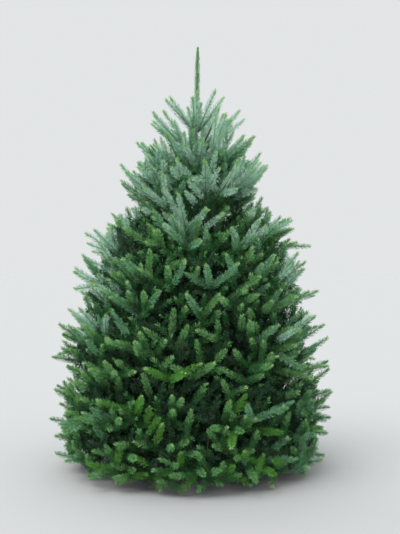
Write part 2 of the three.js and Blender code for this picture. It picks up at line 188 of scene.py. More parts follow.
# What room is left in the crown is filled from the nearest twig: how many places are tried, how far from all
# growth a place must be, and how many twigs are grown at the most
ROOM_PLACES = 28000
ROOM_APART = 50
ROOM_MOST = 4200
ROOM_SIDE = 900  # the places lie in a box this far to each side, from ROOM_BOTTOM to ROOM_TOP
ROOM_BOTTOM = 50
ROOM_TOP = 1950
ROOM_DEEPEST = 0.06  # no nearer to the trunk than this share of the growth's reach
ROOM_SHELL = (42, 92)  # and this far within that reach, at the ground and from ROOM_FOOT up
ROOM_FOOT = 900
ROOM_AT_TRUNK = 0.7  # a distance counts for more near the trunk, and by height as listed here
ROOM_HEIGHTS = (0, 250, 500, 900, 1860)
ROOM_SCALES = (0.78, 0.8, 0.95, 0.95, 0.66)
ROOM_OUTSIDE = 1000  # growth further out than the place is as good as this much further away
ROOM_ABOVE = 0.8  # growth above it is further away by this share of its height over it
ROOM_ABOVE_FROM = -40  # counted from this height over the place to this one
ROOM_ABOVE_TO = 200
ROOM_BESIDE = 1.2  # and low down, growth further in by this share of how far in it is, up to this far in
ROOM_BESIDE_TO = 300
ROOM_PAST = 30  # a twig that fills a place ends this far past it
ROOM_SAG = 0.1
ROOM_SEED = 3
ROOM_KEY = 5000  # the first key of these twigs
HELD_PARTS = 60  # all the growth is too much to compare at once, so it is compared in parts
SAMPLED_AT = (0.1, 0.5, 0.9)  # a segment stands for these points of it

DEAD_BELOW = 700  # low inside the crown a few twigs are dead and bare
DEAD_WITHIN = 0.92
DEAD_SHARE = 0.04

# Needles of this year's growth and of older growth, by how many millimetres deep in the crown it ends: how
# many for each millimetre, length and width
DEPTHS = [90, 235]
ALL_OUTER_FROM = 1950  # from here up, everything counts as the outer layer
YOUNG_NEEDLES = [(1.25, 27, 3.5), (0.52, 27, 5.8), (0.28, 30, 9.4)]
OLD_NEEDLES = [(0.55, 25, 4.2), (0.4, 28, 6.4), (0.28, 30, 9.2)]
MOST_NEEDLES = 98000  # in one piece

UP = Vector((0, 0, 1))


def chance(*keys):
    """A number from 0 to 1 that depends only on its keys, as in the source.

    The first key is a twig's own. Where a bare number follows, it tells apart what is chosen for that twig.
    """
    mixed = sum((key + 1) * (12.9898 + 31.416 * i) for i, key in enumerate(keys))
    wave = math.sin(mixed) * 43758.5453
    return wave - math.floor(wave)


def jitter(*keys):
    return 2 * chance(*keys) - 1


def lerp(a, b, share):
    return a + (b - a) * share


def clamp(value, low, high):
    return max(low, min(high, value))


def bell(value, middle, width):
    return math.exp(-(((value - middle) / width) ** 2))


def axis_at(z):
    share = z / TREE_HEIGHT
    return Vector((TIP_LEAN * share, TRUNK_SWEEP * math.sin(math.pi * share), z))


def trunk_radius(z):
    if z > LEADER_FOOT:
        return lerp(LEADER_RADIUS, TIP_RADIUS, (z - LEADER_FOOT) / (TREE_HEIGHT - LEADER_FOOT))
    return lerp(BUTT_RADIUS, LEADER_RADIUS, z / LEADER_FOOT)


def crown_reach(z):
    tuck = 1 - SKIRT_TUCK * clamp((SKIRT_HEIGHT - z) / SKIRT_HEIGHT, 0, 1) ** 2
    return CROWN_REACH * tuck * (1 - clamp(z / CROWN_APEX, 0, 1) ** CROWN_POWER)


def waist_height(azimuth):
    twofold, threefold = WAIST_WAVES
    return WAIST_AT + twofold * math.cos(2 * azimuth) - threefold * math.sin(3 * azimuth)


def growth_reach(z, azimuth):
    """How far out the growth comes: to the crown's outline, but for the waist and the spikes of the top."""
    share = WAIST_SHARE * (1 + WAIST_SHARE_WAVE * math.sin(2 * azimuth + 1))
    waist = share * bell(z, waist_height(azimuth), WAIST_HEIGHT)
    return crown_reach(z) * (1 - waist) + SPIKES * bell(z, SPIKES_AT, SPIKES_HEIGHT)


def outward(azimuth):
    return Vector((math.cos(azimuth), math.sin(azimuth), 0))


def around_axis(point):
    """A point's distance from the trunk's axis, and the way it lies."""
    axis = axis_at(point.z)
    return math.hypot(point.x - axis.x, point.y - axis.y), math.atan2(point.y - axis.y, point.x - axis.x)


def crown_point(z, r, azimuth):
    return axis_at(z) + r * outward(azimuth)


class Line:
    """A curve measured along its length: start, end, and the point that it bends towards."""

    def __init__(self, start, bend, end, steps=40):
        t = np.linspace(0, 1, steps + 1)[:, None]
        start, bend, end = np.array(start), np.array(bend), np.array(end)
        self.points = (1 - t) ** 2 * start + 2 * t * (1 - t) * bend + t**2 * end
        lengths = np.linalg.norm(np.diff(self.points, axis=0), axis=1)
        self.at = np.concatenate([[0], np.cumsum(lengths)])
        self.length = float(self.at[-1])

    def point(self, distance):
        return Vector([float(np.interp(distance, self.at, self.points[:, i])) for i in range(3)])

    def heading(self, distance):
        distance = clamp(distance, 1, self.length - 1)
        return (self.point(distance + 1) - self.point(distance - 1)).normalized()


# Whorls, as in the source


def whorl_list():
    listed = []
    for level, (boughs, tips, bare) in enumerate(WHORLS):
        foot = LEADER_FOOT - sum(INTERNODES[:level])
        slope = math.tan(math.radians(lerp(RISE_TOP, RISE_BOTTOM, level / (len(WHORLS) - 1))))
        rim = foot
        for _ in range(12):
            rim = (rim + foot + slope * crown_reach(rim)) / 2
        turn = FIRST_TURN + WHORL_TURN * level
        listed.append(
            dict(level=level, boughs=boughs, tips=tips, bare=bare, foot=foot, rim=rim,
                 reach=crown_reach(rim), turn=turn)
        )
    return listed


whorls = whorl_list()
borders = [((a["foot"] + b["foot"]) / 2, (a["rim"] + b["rim"]) / 2) for a, b in zip(whorls, whorls[1:])]
borders.insert(0, (whorls[0]["foot"] + TIPS_ABOVE, whorls[0]["rim"] + TIPS_ABOVE))
borders.append((whorls[-1]["foot"] * SKIRT_FOOT, GROUND_CLEARANCE))


def border_at(level, r, azimuth):
    axis, rim = borders[level]
    share = r / crown_reach(min(rim, whorls[0]["rim"]))
    inner = 0 < level < len(whorls)
    wave = BORDER_WAVE * math.sin(BORDER_LOBES * azimuth + level) if inner else 0
    return lerp(axis, rim, share) + wave * share


def limb_line(whorl, azimuth, lift):
    start = axis_at(whorl["foot"] + lift)
    end = crown_point(whorl["rim"], whorl["reach"], azimuth)
    bend = start + whorl["reach"] * LIMB_BEND * outward(azimuth)
    bend.z = lerp(whorl["foot"], whorl["rim"], LIMB_BEND_RISE) - whorl["reach"] * LIMB_SAG
    return Line(start, bend, end)


def mass_list():
    listed = []
    for whorl in whorls:
        level, count = whorl["level"], whorl["boughs"]
        seeds = [10 * (level + 1) + i for i in range(count)]
        turns = [
            math.radians(whorl["turn"] + 360 * i / count + TURN_JITTER * jitter(seed))
            for i, seed in enumerate(seeds)
        ]
        for i, (seed, azimuth) in enumerate(zip(seeds, turns)):
            before = turns[i - 1] if i > 0 else turns[-1] - 2 * math.pi
            after = turns[i + 1] if i + 1 < count else turns[0] + 2 * math.pi
            half = (after - before) / 4
            line = limb_line(whorl, azimuth, FOOT_JITTER * jitter(seed, 7))
            listed.append(
                dict(whorl=whorl, middle=(before + azimuth) / 2 + half, half=half, seed=seed, line=line)
            )
    return listed


# Where twigs end: at the source's places, and at further ones


def twig_heading(z, azimuth, key):
    """Upwards more and more with height, and turned aside, most of all low down."""
    rise = math.radians(lerp(RISE_LOW, RISE_HIGH, z / CROWN_APEX) + RISE_JITTER * jitter(key, 4))
    turn = HEADING_TURN * jitter(key, 6)
    low = clamp(1 - z / LOW_TURN_BELOW, 0, 1)
    turn = math.copysign(lerp(abs(turn), LOW_TURN, LOW_TURN_SHARE * low), turn)
    out = outward(azimuth + math.radians(turn))
    return math.cos(rise) * out + math.sin(rise) * UP


def twig_end(key, z, r, azimuth):
    """A twig's tip, its heading there, and the way that lies outward."""
    heading = twig_heading(z, azimuth, key)
    return dict(key=key, heading=heading, out=outward(azimuth), tip=crown_point(z, r, azimuth))


def source_ends(mass):
    """Where the source's own twigs end, on the mass's patch of the crown's outline."""
    whorl = mass["whorl"]
    for row, columns in enumerate(whorl["tips"]):
        for column in range(columns):
            key = mass["seed"] * 100 + row * 10 + column
            up = (row + 0.5 + ROW_SHIFT * jitter(key, 1)) / len(whorl["tips"])
            across = (column + 0.5 + ROW_SHIFT * jitter(key, 2)) / columns
            angle = mass["middle"] + mass["half"] * ROWS_SPREAD * (2 * across - 1)
            bottom = border_at(whorl["level"] + 1, whorl["reach"], angle)
            top = border_at(whorl["level"], whorl["reach"], angle)
            z = lerp(bottom, top, up)
            r = min(growth_reach(z, angle) * (1 + TIP_SPREAD * jitter(key, 3)), CROWN_REACH)
            yield twig_end(key, z, r, angle)


def owner_of(masses, z, r, azimuth):
    """The mass whose space a point is in."""
    for mass in masses:
        level = mass["whorl"]["level"]
        turn = (azimuth - mass["middle"] + math.pi) % (2 * math.pi) - math.pi
        low, high = border_at(level + 1, r, azimuth), border_at(level, r, azimuth)
        if abs(turn) <= mass["half"] and low <= z < high:
            return mass
    return None


def add_further_ends(masses):
    """Gives each mass the ends of its further twigs: points of a spiral that winds evenly up the crown."""
    heights = np.linspace(LOWEST_TIPS, CROWN_APEX, SPIRAL_STEPS)
    reach = np.array([crown_reach(z) for z in heights])
    skin = np.cumsum(reach * np.hypot(1, np.gradient(reach, heights)))
    kept = [end["tip"] for mass in masses for end in mass["ends"]]
    for layer, (depths, count, apart) in enumerate(LAYERS):
        for i in range(count):
            key = 1000 * (layer + 1) + i
            wound = (i + 0.5 + SPIRAL_JITTER * jitter(key, 1)) / count * skin[-1]
            z = float(np.interp(wound, skin, heights))
            azimuth = i * GOLDEN_TURN + layer + SPIRAL_TURN_JITTER * jitter(key, 2)
            if layer == 0 and abs(z - waist_height(azimuth)) < WAIST_BARE:
                continue
            r = min(growth_reach(z, azimuth) * lerp(*depths, chance(key, 3)), CROWN_REACH)
            mass = owner_of(masses, z, r, azimuth)
            end = twig_end(key, z, r, azimuth)
            room = apart * lerp(LOW_APART, TOP_APART, z / CROWN_APEX)
            if mass and all((end["tip"] - other).length > room for other in kept):
                mass["ends"].append(end)
                kept.append(end["tip"])


def twig_line(stem, end, bare):
    tip = end["tip"]
    reach, _ = around_axis(tip)
    if tip.z > TOP_FROM:
        foot = max(whorl["foot"] for whorl in whorls if whorl["foot"] < tip.z - TOP_DROP * reach)
        root = axis_at(foot)
        return Line(root, root + TOP_BEND_OUT * reach * end["out"] + TOP_BEND_UP * (tip.z - foot) * UP, tip)
    beside = min(reach, stem.length)
    aside = (stem.point(beside) - tip).length
    first = max(bare, FIRST_PARTING * stem.length)
    root = stem.point(clamp(beside - TWIG_PARTING * aside, first, LAST_FOOT * beside))
    bend = tip - TWIG_BEND * (tip - root).length * end["heading"]
    return Line(root, bend, tip)


# Growth by the year. A segment is one year's growth, and these are its columns: where it starts, its heading,
# how it bends, its length, its radii, its age in years, its spray, and how deep in the crown it ends.

START, HEADING, BEND = slice(0, 3), slice(3, 6), slice(6, 9)
LENGTH, START_RADIUS, END_RADIUS, AGE, SPRAY, LAYER = range(9, 15)

segments = []
limbs = []
sprays = []


def segment_end(start, heading, bend, length):
    end = start + length * (heading + bend)
    return end, (heading + 2 * bend).normalized()


def layer_of(point):
    """0 for the outer growth, 1 and 2 for what is deeper in."""
    r, azimuth = around_axis(point)
    within = growth_reach(point.z, azimuth) - r
    return 0 if point.z > ALL_OUTER_FROM else sum(within > most for most in DEPTHS)


def add_segment(start, heading, bend, length, radii, age, spray):
    end, _ = segment_end(start, heading, bend, length)
    segments.append((*start, *heading, *bend, length, *radii, age, spray, layer_of(end)))


def inside_crown(point):
    r, azimuth = around_axis(point)
    beyond = lerp(*BEYOND, clamp(point.z / BEYOND_FROM, 0, 1))
    return point.z > GROUND_CLEARANCE and r < growth_reach(point.z, azimuth) + beyond


def upward_bend(point):
    return lerp(UPWARD_BEND_LOW, UPWARD_BEND_HIGH, clamp(point.z / CROWN_APEX, 0, 1)) * UP


def grow_shoot(start, heading, bend, length, spray):
    """This year's growth, shortened where it would leave the crown."""
    for _ in range(SHORTENINGS):
        end, _ = segment_end(start, heading, bend, length)
        if inside_crown(end):
            add_segment(start, heading, bend, length, (SHOOT_RADIUS, SHOOT_TIP_RADIUS), 1, spray)
            return
        length *= SHORTENED


def turned_aside(heading, node):
    """Low down, a shoot that would point straight out lies more along the crown's skin."""
    _, azimuth = around_axis(node)
    around = outward(azimuth + math.pi / 2)
    low = clamp(1 - node.z / ASIDE_BELOW, 0, 1)
    straight = clamp((heading.dot(outward(azimuth)) - STRAIGHT_OUT) / (1 - STRAIGHT_OUT), 0, 1)
    return (heading + math.copysign(TURN_ASIDE * low * straight, heading.dot(around)) * around).normalized()


def grow_sides(node, along, years, size, spray, seed):
    """The side shoots that leave a node: a pair in the spray's plane, and now and then one out of it."""
    level = along.cross(UP).normalized()
    roll = sprays[spray]["roll"]
    side = math.cos(roll) * level + math.sin(roll) * level.cross(along)
    over = side.cross(along)
    ways = [side, -side]
    if years == 1 and node.z < TOP_FROM and chance(seed, 11) < THIRD_SHOOTS:
        ways.append(over if chance(seed, 12) < THIRD_OVER else -over)
    bend = LEADING_BEND * along + upward_bend(node)
    height = clamp(node.z / CROWN_APEX, 0, 1)
    usual_angle = lerp(SIDE_ANGLE_LOW, SIDE_ANGLE_HIGH, height)
    least_rise = lerp(LEAST_RISE_LOW, LEAST_RISE_HIGH, height)
    for i, way in enumerate(ways):
        third = i == 2
        key = seed * 4 + i
        angle = math.radians(usual_angle + SIDE_ANGLE_JITTER * jitter(key, 1))
        tilt = SIDE_TILT * jitter(key, 2) * (side if third else over)
        heading = (math.cos(angle) * along + math.sin(angle) * way + tilt).normalized()
        heading.z = max(heading.z, least_rise + LEAST_RISE_JITTER * jitter(key, 5))
        heading = turned_aside(heading.normalized(), node)
        length = size * (1 + SIDE_JITTER * jitter(key, 3)) * (THIRD_VIGOUR if third else 1)
        if years == 1:
            grow_shoot(node, heading, bend, length, spray)
            continue
        old = OLD_SIDE * length
        end, forward = segment_end(node, heading, bend, old)
        if inside_crown(end):
            add_segment(node, heading, bend, old, (OLD_SIDE_RADIUS, SHOOT_RADIUS), 2, spray)
            grow_shoot(end, forward, bend, length * FORWARD_VIGOUR, spray)
            fork = math.cos(angle) * forward + math.sin(angle) * way
            fork.z = max(fork.z, FORK_RISE * heading.z)
            fork.normalize()
            grow_shoot(end, fork, bend, length * FORK_VIGOUR, spray)


def grow_along(line, bare, size, spray, seed, radii):
    """A limb's own needled length, from its tip back to where it is bare, with side shoots at each node."""
    distance = line.length
    years = 1
    while distance > bare + LEAST_GROWTH:
        length = size * (1 + GROWTH_JITTER * jitter(seed, years)) * (1 if years == 1 else OLDER_GROWTH)
        start = max(distance - length, bare)
        if start - bare < LEAST_REST * size and years > 1:
            start = bare
        length = distance - start
        root, tip = line.point(start), line.point(distance)
        if years == 1:
            heading, bend = (tip - root).normalized(), LEADER_UPWARD * upward_bend(tip)
        else:
            heading = line.heading(start)
            bend = (tip - root) / length - heading
        radius = [lerp(*radii, at / line.length) for at in (start, distance)]
        add_segment(root, heading, bend, length, radius, min(years, OLDEST), spray)
        if start > bare and (years < 3 or chance(seed, 14, years) < OLD_NODES):
            growth = years if years < 3 else 1
            grow_sides(root, line.heading(start), growth, size * SIDE_VIGOUR, spray, seed * 10 + years)
        distance = start
        years += 1


def new_spray(tip, key):
    r, azimuth = around_axis(tip)
    inner = r / max(growth_reach(tip.z, azimuth), 1) < DEAD_WITHIN
    dead = tip.z < DEAD_BELOW and inner and chance(key, 41) < DEAD_SHARE
    roll = math.radians(SPRAY_ROLL) * jitter(key, 31)
    sprays.append(dict(tip=tip, key=key, roll=roll, dead=dead))
    return len(sprays) - 1


def grow_mass(mass):
    whorl, stem = mass["whorl"], mass["line"]
    size = YEAR_GROWTH[whorl["level"]]
    bare = whorl["bare"] * stem.length
    foot = trunk_radius(whorl["foot"])
    thick = lerp(STEM_RADIUS, BOUGH_RADIUS, whorl["level"] / (len(WHORLS) - 1)) if bare else 0
    stem_radius = lerp(TOP_STEM_RADIUS, STEM_RADIUS, clamp(whorl["level"] / MASS_TOP_WHORLS, 0, 1))
    limbs.append(dict(line=stem, bare=bare, thick=thick, radius=stem_radius))
    spray = new_spray(stem.point(stem.length), mass["seed"])
    grow_along(stem, max(bare, foot), size, spray, mass["seed"], (stem_radius, TWIG_TIP_RADIUS))
    for end in mass["ends"]:
        key = end["key"]
        line = twig_line(stem, end, bare)
        if line.length > LEAST_TWIG:
            spray = new_spray(end["tip"], key)
            growth = size * (1 + TWIG_JITTER * jitter(key, 5))
            grow_along(line, TWIG_BARE, growth, spray, key, (TWIG_RADIUS, TWIG_TIP_RADIUS))


def unit(vectors):
    return vectors / np.maximum(np.linalg.norm(vectors, axis=1, keepdims=True), 1e-9)


def along_segments(rows, t):
    """For each segment, the point at the share t of its length, and the heading there."""
    start, heading, bend = rows[:, START], rows[:, HEADING], rows[:, BEND]
    point = start + rows[:, LENGTH, None] * (heading * t + bend * t**2)
    return point, unit(heading + 2 * t * bend)


def sampled(rows):
    rows = np.array(rows)
    return np.concatenate([along_segments(rows, t)[0] for t in SAMPLED_AT])


def axis_distance(points):
    """How far points are from the trunk's axis, but for its slight sweep."""
    axis = np.stack([TIP_LEAN * points[:, 2] / TREE_HEIGHT, np.zeros(len(points))], axis=1)
    return np.linalg.norm(points[:, :2] - axis, axis=1)


def distance_to_nearest(points, others):
    return np.linalg.norm(points[:, None] - others[None], axis=2).min(axis=1)


def room_places():
    """Places all through the crown, but for the hollow under its lowest boughs."""
    low, high = (-ROOM_SIDE, -ROOM_SIDE, ROOM_BOTTOM), (ROOM_SIDE, ROOM_SIDE, ROOM_TOP)
    places = []
    for place in np.random.default_rng(ROOM_SEED).uniform(low, high, (ROOM_PLACES, 3)).tolist():
        z = place[2]
        r, azimuth = around_axis(Vector(place))
        under, over = border_at(len(whorls), r, azimuth), border_at(0, r, azimuth)
        reach = growth_reach(z, azimuth)
        if under < z < over and ROOM_DEEPEST * reach < r < reach - lerp(*ROOM_SHELL, min(z / ROOM_FOOT, 1)):
            places.append(place)
    return np.array(places)


def fill_room():
    """Twigs that grow from the nearest older growth into the widest room, until none is left."""
    places = room_places()
    out = axis_distance(places)
    held = sampled(segments)
    held_out = axis_distance(held)
    scale = lerp(ROOM_AT_TRUNK, 1, out / np.array([crown_reach(z) for z in places[:, 2]]))
    scale *= np.interp(places[:, 2], ROOM_HEIGHTS, ROOM_SCALES)
    room = np.full(len(places), np.inf)
    for part in np.array_split(held, HELD_PARTS):
        room = np.minimum(room, distance_to_nearest(places, part) / scale)
    for key in range(ROOM_KEY, ROOM_KEY + ROOM_MOST):
        widest = int(np.argmax(room))
        if room[widest] < ROOM_APART:
            break
        place = places[widest]
        above = np.clip(held[:, 2] - place[2] - ROOM_ABOVE_FROM, 0, ROOM_ABOVE_TO - ROOM_ABOVE_FROM)
        further_in = np.clip(out[widest] - held_out, 0, ROOM_BESIDE_TO)
        away = np.linalg.norm(held - place, axis=1) + ROOM_OUTSIDE * (held_out > out[widest])
        away += ROOM_ABOVE * above
        away += ROOM_BESIDE * max(1 - place[2] / ASIDE_BELOW, 0) * further_in
        root, tip = Vector(held[int(np.argmin(away))]), Vector(place)
        tip = tip + ROOM_PAST * (tip - root).normalized()
        line = Line(root, (root + tip) / 2 - ROOM_SAG * (tip - root).length * UP, tip)
        before = len(segments)
        grow_along(line, 0, YEAR_GROWTH[-1], new_spray(tip, key), key, (OLD_SIDE_RADIUS, TWIG_TIP_RADIUS))
        fresh = sampled(segments[before:])
        room = np.minimum(room, distance_to_nearest(places, fresh) / scale)
        room[widest] = 0
        held = np.concatenate([held, fresh])
        held_out = np.concatenate([held_out, axis_distance(fresh)])


masses = mass_list()
for mass in masses:
    mass["ends"] = list(source_ends(mass))
add_further_ends(masses)
for mass in masses:
    grow_mass(mass)
fill_room()

grown = np.array(segments)
young = grown[:, AGE] == 1
dead = np.array([sprays[int(row[SPRAY])]["dead"] for row in grown])


# Meshes

METRES = 0.001
STEEP = 0.05


def new_mesh(name, points, faces, material, smooth=False):
    """A mesh object in metres, from an array of points in millimetres and an array of faces of one size."""
    points = np.asarray(points, dtype=np.float32) * METRES
    faces = np.asarray(faces, dtype=np.int32)
    mesh = bpy.data.meshes.new(name)
    mesh.vertices.add(len(points))
    mesh.vertices.foreach_set("co", points.ravel())
    corners = faces.shape[1]
    mesh.loops.add(faces.size)
    mesh.loops.foreach_set("vertex_index", faces.ravel())
    mesh.polygons.add(len(faces))
    mesh.polygons.foreach_set("loop_start", np.arange(0, faces.size, corners, dtype=np.int32))
    mesh.polygons.foreach_set("use_smooth", np.full(len(faces), smooth))
    mesh.update(calc_edges=True)
    mesh.materials.append(material)
    piece = bpy.data.objects.new(name, mesh)
    bpy.context.scene.collection.objects.link(piece)
    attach(piece, "root")
    return piece


def frames(headings):
    """For each heading, one direction to its side and one over it."""
    side = np.cross(headings, [0, 0, 1])
    side[np.linalg.norm(side, axis=1) < STEEP] = [1, 0, 0]
    side = unit(side)
    return side, np.cross(side, headings)


def rings_round(points, headings, radius, sides):
    """The corners of a ring round each of the points, square to its heading."""
    side, over = frames(headings)
    angles = [2 * math.pi * k / sides for k in range(sides)]
    return [points + radius * (math.cos(angle) * side + math.sin(angle) * over) for angle in angles]


def faces_between(rings, sides):
    """The four corners of each face between rings of points: two on the lower ring, two on the upper."""
    ring, k = np.meshgrid(np.arange(rings - 1), np.arange(sides), indexing="ij")
    low, k = ring.ravel() * sides, k.ravel()
    high, after = low + sides, (k + 1) % sides
    return low + k, low + after, high + after, high + k


# Materials


def principled(name, color, roughness, specular=0.5, coat=0.0):
    material = bpy.data.materials.new(name)
    material.use_nodes = True
    shader = material.node_tree.nodes["Principled BSDF"]
    shader.inputs["Base Color"].default_value = (*color, 1)
    shader.inputs["Roughness"].default_value = roughness
    shader.inputs["Specular IOR Level"].default_value = specular
    shader.inputs["Coat Weight"].default_value = coat
    return material


def noise_node(nodes, scale, detail, roughness=0.5):
    noise = nodes.new("ShaderNodeTexNoise")
    noise.inputs["Scale"].default_value = scale
    noise.inputs["Detail"].default_value = detail
    noise.inputs["Roughness"].default_value = roughness
    return noise


def ramp_node(nodes, *stops):
    """A ramp between two colours, each with its place from 0 to 1."""
    ramp = nodes.new("ShaderNodeValToRGB")
    for i, (position, color) in enumerate(stops):
        ramp.color_ramp.elements[i].position = position
        ramp.color_ramp.elements[i].color = (*color, 1)
    return ramp


def bark_material(name, dark, light, scale, depth):
    """Bark mottled from dark to light, its pattern drawn out along the height, with a fine grain."""
    material = principled(name, light, roughness=0.85, specular=0.3)
    nodes, links = material.node_tree.nodes, material.node_tree.links
    shader = nodes["Principled BSDF"]
    place = nodes.new("ShaderNodeTexCoord")
    stretch = nodes.new("ShaderNodeMapping")
    stretch.inputs["Scale"].default_value = (1, 1, 0.35)
    mottle = noise_node(nodes, scale, detail=6, roughness=0.65)
    ramp = ramp_node(nodes, (0.32, dark), (0.68, light))
    grain = noise_node(nodes, scale * 5, detail=4)
    bump = nodes.new("ShaderNodeBump")
    bump.inputs["Strength"].default_value = 0.6
    bump.inputs["Distance"].default_value = depth
    links.new(place.outputs["Object"], stretch.inputs["Vector"])
    links.new(stretch.outputs["Vector"], mottle.inputs["Vector"])
    links.new(mottle.outputs["Fac"], ramp.inputs["Fac"])
    links.new(ramp.outputs["Color"], shader.inputs["Base Color"])
    links.new(stretch.outputs["Vector"], grain.inputs["Vector"])
    links.new(grain.outputs["Fac"], bump.inputs["Height"])
    links.new(bump.outputs["Normal"], shader.inputs["Normal"])
    return material


# The needles' tints. deep is painted shade, for old growth, for growth deep in the crown and for growth low
# down. The pale tint is painted sheen and rim light of the bright sky, high up and at the sides. soft is
# partly the needles' own lighter green, dealt at random, and partly painted light high up and at the sides.
# mid, fresh, low and tip are the needles' own greens, with fresh and tip for new growth.
TINTS = {
    "deep": (0.035, 0.092, 0.045),
    "mid": (0.045, 0.167, 0.051),
    "soft": (0.162, 0.375, 0.200),
    "fresh": (0.152, 0.362, 0.128),
    "pale_sheen": (0.400, 0.620, 0.480),
    "low": (0.114, 0.330, 0.058),
    "tip": (0.360, 0.580, 0.250),
}
TINT_NAMES = list(TINTS)
DEEP_SHADE, MID, FRESH, PALE_SHEEN, LOW, TIP = (
    TINT_NAMES.index(name) for name in ("deep", "mid", "fresh", "pale_sheen", "low", "tip")
)

needle_materials = {
    name: principled("needles_" + name, color, roughness=0.55, specular=0.12) for name, color in TINTS.items()
}
trunk_bark = bark_material("trunk_bark", (0.055, 0.042, 0.032), (0.20, 0.165, 0.13), scale=26, depth=0.004)
bough_bark = bark_material("bough_bark", (0.060, 0.040, 0.026), (0.19, 0.14, 0.095), scale=60, depth=0.002)
twig_bark = principled("twig_bark", (0.11, 0.075, 0.045), roughness=0.8, specular=0.3)
young_bark = principled("young_bark", (0.16, 0.14, 0.055), roughness=0.7, specular=0.35)
bud_scales = principled("bud_scales", (0.17, 0.075, 0.035), roughness=0.45, coat=0.3)


# Needles: flat and blunt, in a spiral round each segment

NEEDLE_TURN = math.radians(137.5)
LEAST_NEEDLES = 3
SPACING_JITTER = 0.4
NEEDLE_TURN_JITTER = 0.35
CLOSE_FROM = 0.74  # from here to the tip's bud the needles close up round it, by this many radians
CLOSING = 0.62
CLOSING_POWER = 1.4
ANGLE_SPREAD = 0.1
NEEDLE_LIFT = 0.16
FOOT_LENGTH = 0.72  # at a shoot's foot the needles are shorter, up to this share of its length
FOOT_TO = 0.12
LONGEST = 1.05
LENGTH_FALL = 0.1  # a needle's length falls by this share along the shoot
TIP_FALL = 0.2  # and by this one where the needles close up
LENGTH_RANGE = (0.85, 1.1)
WIDTH_RANGE = (0.85, 1.15)
ROOT_DEPTH = 0.5  # a needle starts at this share of its stem's radius
ROOT_HALF = 0.3  # half the width of a needle at its root and at its end, as shares of its kind's
END_HALF = 0.42
NEEDLE_SEED = 8

rng = np.random.default_rng(NEEDLE_SEED)


def grow_needles(rows, phases, kind, spread, twist, to_tip):
    """Each needle's four corners, the segment that it is on, and its place along it.

    A kind is how many there are for each millimetre, their length and their width. The needles stand off by
    the angle spread and are turned round their own length by about twist. to_tip is 1 if they close up.
    """
    per_mm, length, width = kind
    count = np.maximum((rows[:, LENGTH] * per_mm).astype(int), LEAST_NEEDLES)
    owner = np.repeat(np.arange(len(rows)), count)
    total = len(owner)
    order = np.arange(total) - (np.cumsum(count) - count)[owner]
    along = (order + 0.5 + rng.uniform(-SPACING_JITTER, SPACING_JITTER, total)) / count[owner]
    point, forward = along_segments(rows[owner], along[:, None])
    side, over = frames(forward)
    turn_jitter = rng.uniform(-NEEDLE_TURN_JITTER, NEEDLE_TURN_JITTER, total)
    turn = order * NEEDLE_TURN + phases[owner] + turn_jitter
    radial = np.cos(turn)[:, None] * side + np.sin(turn)[:, None] * over
    near_tip = np.clip((along - CLOSE_FROM) / (1 - CLOSE_FROM), 0, 1) * to_tip
    angle = np.radians(spread) - CLOSING * near_tip**CLOSING_POWER + rng.normal(0, ANGLE_SPREAD, total)
    pointing = np.cos(angle)[:, None] * forward + np.sin(angle)[:, None] * radial
    pointing = unit(pointing + [0, 0, NEEDLE_LIFT])
    reach = length * (FOOT_LENGTH + (1 - FOOT_LENGTH) * np.clip(along / FOOT_TO, 0, 1))
    reach = reach * (LONGEST - LENGTH_FALL * along) * (1 - TIP_FALL * near_tip)
    reach = reach * rng.uniform(*LENGTH_RANGE, total)
    flat = unit(np.cross(pointing, radial) + 1e-6)
    normal = np.cross(flat, pointing)
    roll = rng.normal(0, twist, total)[:, None]
    flat = np.cos(roll) * flat + np.sin(roll) * normal
    thick = rows[:, START_RADIUS][owner] * (1 - along) + rows[:, END_RADIUS][owner] * along
    root = point + radial * (ROOT_DEPTH * thick)[:, None]
    end = root + pointing * reach[:, None]
    wide = (width * rng.uniform(*WIDTH_RANGE, total))[:, None]
    at_root, at_end = ROOT_HALF * wide * flat, END_HALF * wide * flat
    corners = np.stack([root - at_root, root + at_root, end + at_end, end - at_end], axis=1)
    return corners, owner, along


# The tints are dealt out by spray, and these are the borders between their zones: heights as shares of the
# tree's, and how far to one side of the trunk as shares of the crown's reach. Darker tints low down and deep
# in the crown are painted shade. Lighter ones high up and at the left and right edges are painted sheen and
# rim light.

FOOT_HEIGHT = 0.24
LOW_HEIGHT = 0.33
PAINTED_SHADE_HEIGHT = 0.3
UPPER_HEIGHT = 0.55
PAINTED_SHEEN_HEIGHT = 0.65
INNER_MID_HEIGHT = 0.62
INNER_LIT_HEIGHT = 0.68
PAINTED_SHEEN_EDGE = 0.6
PAINTED_LIGHT_EDGE = 0.62
FOOT_EDGE = 0.65
LEAST_REACH = 200
DEALT_JITTER = 0.2
HEIGHT_JITTER = 0.05


def pick(dealt, *choices):
    """The name of the first choice whose limit is above the number dealt."""
    return next(name for limit, name in choices if dealt < limit)


